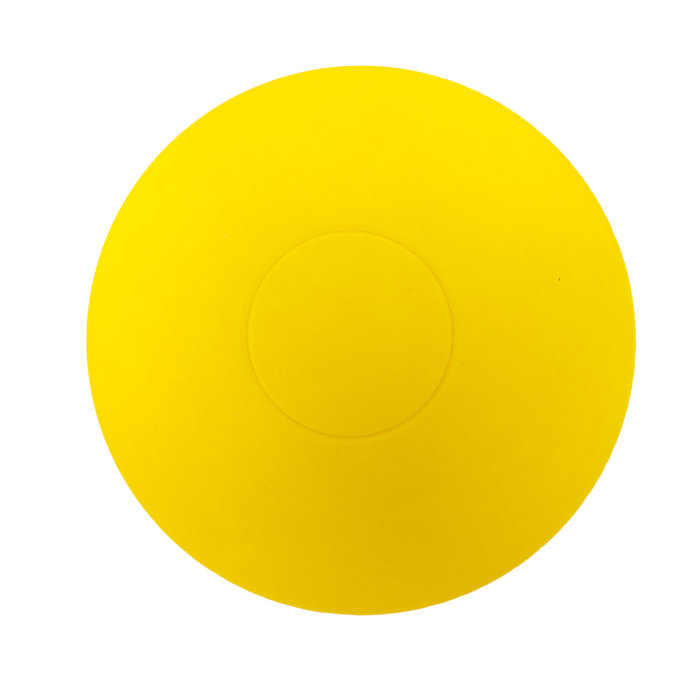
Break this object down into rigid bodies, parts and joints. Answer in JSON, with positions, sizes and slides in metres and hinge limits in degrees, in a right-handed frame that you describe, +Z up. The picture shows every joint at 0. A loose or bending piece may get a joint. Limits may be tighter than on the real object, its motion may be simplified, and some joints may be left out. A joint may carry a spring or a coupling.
{
  "type": "lacrosse ball",
  "caption": "Solid rubber lacrosse ball with a matte yellow cover, a shallow disc pressed into its top inside a fine ring, and a buffed mould seam round its middle.",
  "frame": {"origin": "the ball's centre", "axes": "+Z up, through the middle of the pressed ring, so the ball lies on its plain half; +Y towards the top of the picture and +X towards its right; the seam lies on the XY plane"},
  "size_m": [0.0634, 0.0634, 0.0635],
  "materials": {
    "cover_rubber": "matte",
    "core_rubber": "matte"
  },
  "bodies": {
    "root": {"core": "core_rubber", "upper_cover": "cover_rubber", "lower_cover": "cover_rubber"}
  },
  "joints": []
}
